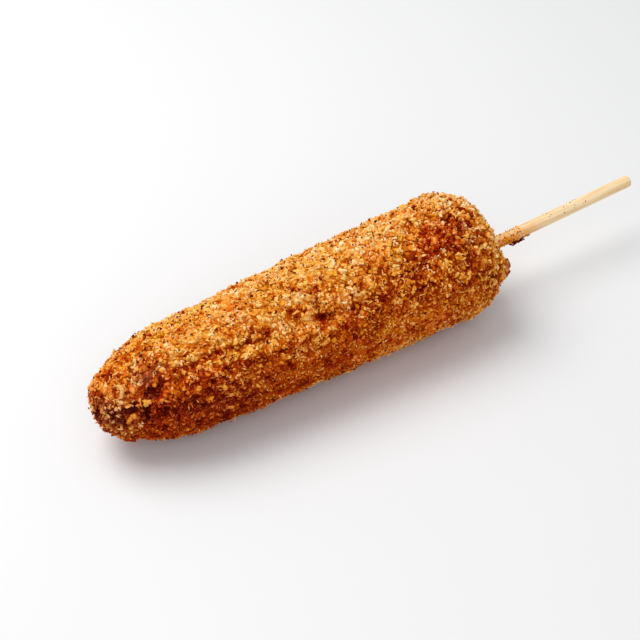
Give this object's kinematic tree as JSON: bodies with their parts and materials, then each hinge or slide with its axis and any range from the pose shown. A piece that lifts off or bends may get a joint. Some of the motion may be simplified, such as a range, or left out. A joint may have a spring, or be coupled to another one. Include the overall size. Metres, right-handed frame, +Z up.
{
  "type": "crumb-crusted corn cob on a stick",
  "caption": "Whole corn cob fried in a rough crumb crust, on a round wooden stick, lying on its side.",
  "frame": {"origin": "bottom centre of the whole: the middle of its box in X and Y, on the surface that it lies on", "axes": "+X along the cob from its tip to the stick's free end, +Z up, the shown side faces -Y and up"},
  "size_m": [0.2934, 0.063, 0.0599],
  "materials": {
    "crust": "matte",
    "stick_wood": "matte"
  },
  "bodies": {
    "root": {"crusted_cob": "crust", "stick": "stick_wood"}
  },
  "joints": []
}
